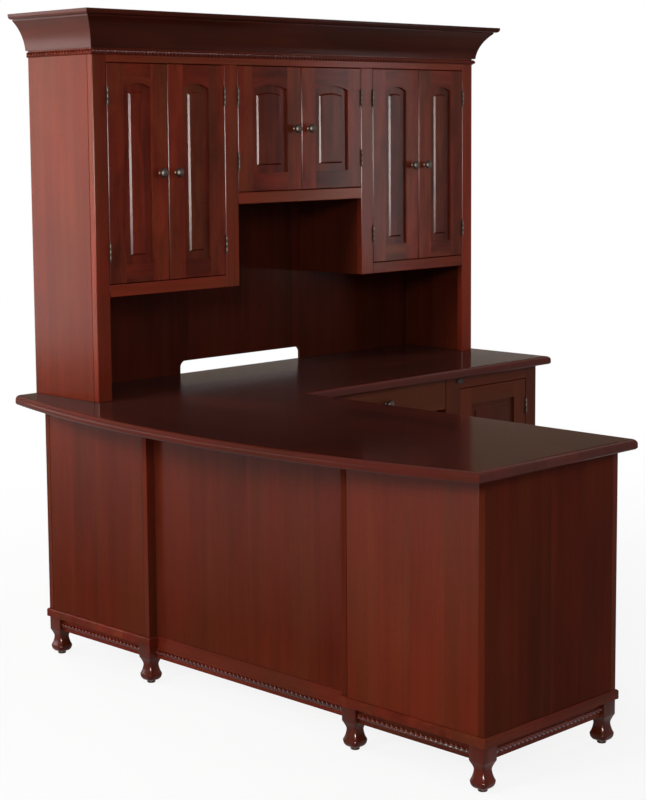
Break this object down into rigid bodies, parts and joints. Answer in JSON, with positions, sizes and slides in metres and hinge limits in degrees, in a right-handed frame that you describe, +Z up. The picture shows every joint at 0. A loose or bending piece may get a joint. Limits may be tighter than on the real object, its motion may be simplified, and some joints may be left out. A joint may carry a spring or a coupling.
{
  "type": "l-shaped desk",
  "caption": "L-shaped wooden office desk with a bowed front, carved feet, a return, and a hutch of arched raised-panel doors; its doors swing and its drawers slide.",
  "frame": {"origin": "on the floor under the middle of the overall box", "axes": "+Z up; the bowed visitor side faces -Y; the drawer pedestal stands at +X; the return and hutch stand along the wall at -X, and their doors face +X"},
  "size_m": [1.714, 1.8548, 1.838],
  "materials": {
    "cherry": "satin lacquer over a cherry stain",
    "drawer_wood": "clear sealed",
    "antique_bronze": "antique bronze, worn",
    "dark_fitting": "black",
    "glide": "dark brown"
  },
  "bodies": {
    "desk": {"base_aprons": "cherry", "base_lips": "cherry", "base_rope_moulding": "cherry", "corner_pedestal_panels": "cherry", "desk_top": "cherry", "drawer_pedestal_frame": "cherry", "drawer_pedestal_sides": "cherry", "drawer_runners": "drawer_wood", "feet": "cherry", "foot_glides": "glide", "hinge_plates": "antique_bronze", "hutch_back": "cherry", "hutch_cabinet_floors": "cherry", "hutch_crown": "cherry", "hutch_face_frame": "cherry", "hutch_rope_moulding": "cherry", "hutch_top": "cherry", "hutch_uprights": "cherry", "modesty_panel": "cherry", "pedestal_front_panels": "cherry", "return_back": "cherry", "return_face_frame": "cherry", "return_lock": "dark_fitting", "return_top": "cherry", "return_uprights": "cherry", "shelves": "cherry"},
    "left_outer_door": {"left_outer_door_frame": "cherry", "left_outer_door_panel": "cherry", "left_outer_door_hardware": "antique_bronze"},
    "left_inner_door": {"left_inner_door_frame": "cherry", "left_inner_door_panel": "cherry", "left_inner_door_hardware": "antique_bronze"},
    "centre_left_door": {"centre_left_door_frame": "cherry", "centre_left_door_panel": "cherry", "centre_left_door_hardware": "antique_bronze"},
    "centre_right_door": {"centre_right_door_frame": "cherry", "centre_right_door_panel": "cherry", "centre_right_door_hardware": "antique_bronze"},
    "right_inner_door": {"right_inner_door_frame": "cherry", "right_inner_door_panel": "cherry", "right_inner_door_hardware": "antique_bronze"},
    "right_outer_door": {"right_outer_door_frame": "cherry", "right_outer_door_panel": "cherry", "right_outer_door_hardware": "antique_bronze"},
    "return_door": {"return_door_frame": "cherry", "return_door_panel": "cherry", "return_door_hardware": "antique_bronze"},
    "upper_drawer": {"upper_drawer_front": "cherry", "upper_drawer_box": "drawer_wood", "upper_drawer_knob": "antique_bronze"},
    "middle_drawer": {"middle_drawer_front": "cherry", "middle_drawer_box": "drawer_wood", "middle_drawer_knob": "antique_bronze"},
    "file_drawer": {"file_drawer_front": "cherry", "file_drawer_box": "drawer_wood", "file_drawer_knob": "antique_bronze"},
    "return_drawer": {"return_drawer_front": "cherry", "return_drawer_box": "drawer_wood", "return_drawer_knob": "antique_bronze"}
  },
  "joints": [
    {"name": "left_outer_door_hinge", "type": "hinge", "parent": "desk", "child": "left_outer_door", "pos_m": [-0.5635, -0.6895, 1.3925], "axis": [0, 0, -1], "range_deg": [0, 110]},
    {"name": "left_inner_door_hinge", "type": "hinge", "parent": "desk", "child": "left_inner_door", "pos_m": [-0.5635, -0.2545, 1.3925], "axis": [0, 0, 1], "range_deg": [0, 90]},
    {"name": "centre_left_door_hinge", "type": "hinge", "parent": "desk", "child": "centre_left_door", "pos_m": [-0.5635, -0.201, 1.513], "axis": [0, 0, -1], "range_deg": [0, 90]},
    {"name": "centre_right_door_hinge", "type": "hinge", "parent": "desk", "child": "centre_right_door", "pos_m": [-0.5635, 0.324, 1.513], "axis": [0, 0, 1], "range_deg": [0, 90]},
    {"name": "right_inner_door_hinge", "type": "hinge", "parent": "desk", "child": "right_inner_door", "pos_m": [-0.5635, 0.3775, 1.3925], "axis": [0, 0, -1], "range_deg": [0, 90]},
    {"name": "right_outer_door_hinge", "type": "hinge", "parent": "desk", "child": "right_outer_door", "pos_m": [-0.5635, 0.8125, 1.3925], "axis": [0, 0, 1], "range_deg": [0, 110]},
    {"name": "return_door_hinge", "type": "hinge", "parent": "desk", "child": "return_door", "pos_m": [-0.2965, 0.8185, 0.433], "axis": [0, 0, 1], "range_deg": [0, 110]},
    {"name": "upper_drawer_slide", "type": "slide", "parent": "desk", "child": "upper_drawer", "axis": [0, 1, 0], "range_m": [0, 0.38]},
    {"name": "middle_drawer_slide", "type": "slide", "parent": "desk", "child": "middle_drawer", "axis": [0, 1, 0], "range_m": [0, 0.38]},
    {"name": "file_drawer_slide", "type": "slide", "parent": "desk", "child": "file_drawer", "axis": [0, 1, 0], "range_m": [0, 0.38]},
    {"name": "return_drawer_slide", "type": "slide", "parent": "desk", "child": "return_drawer", "axis": [1, 0, 0], "range_m": [0, 0.36]}
  ]
}
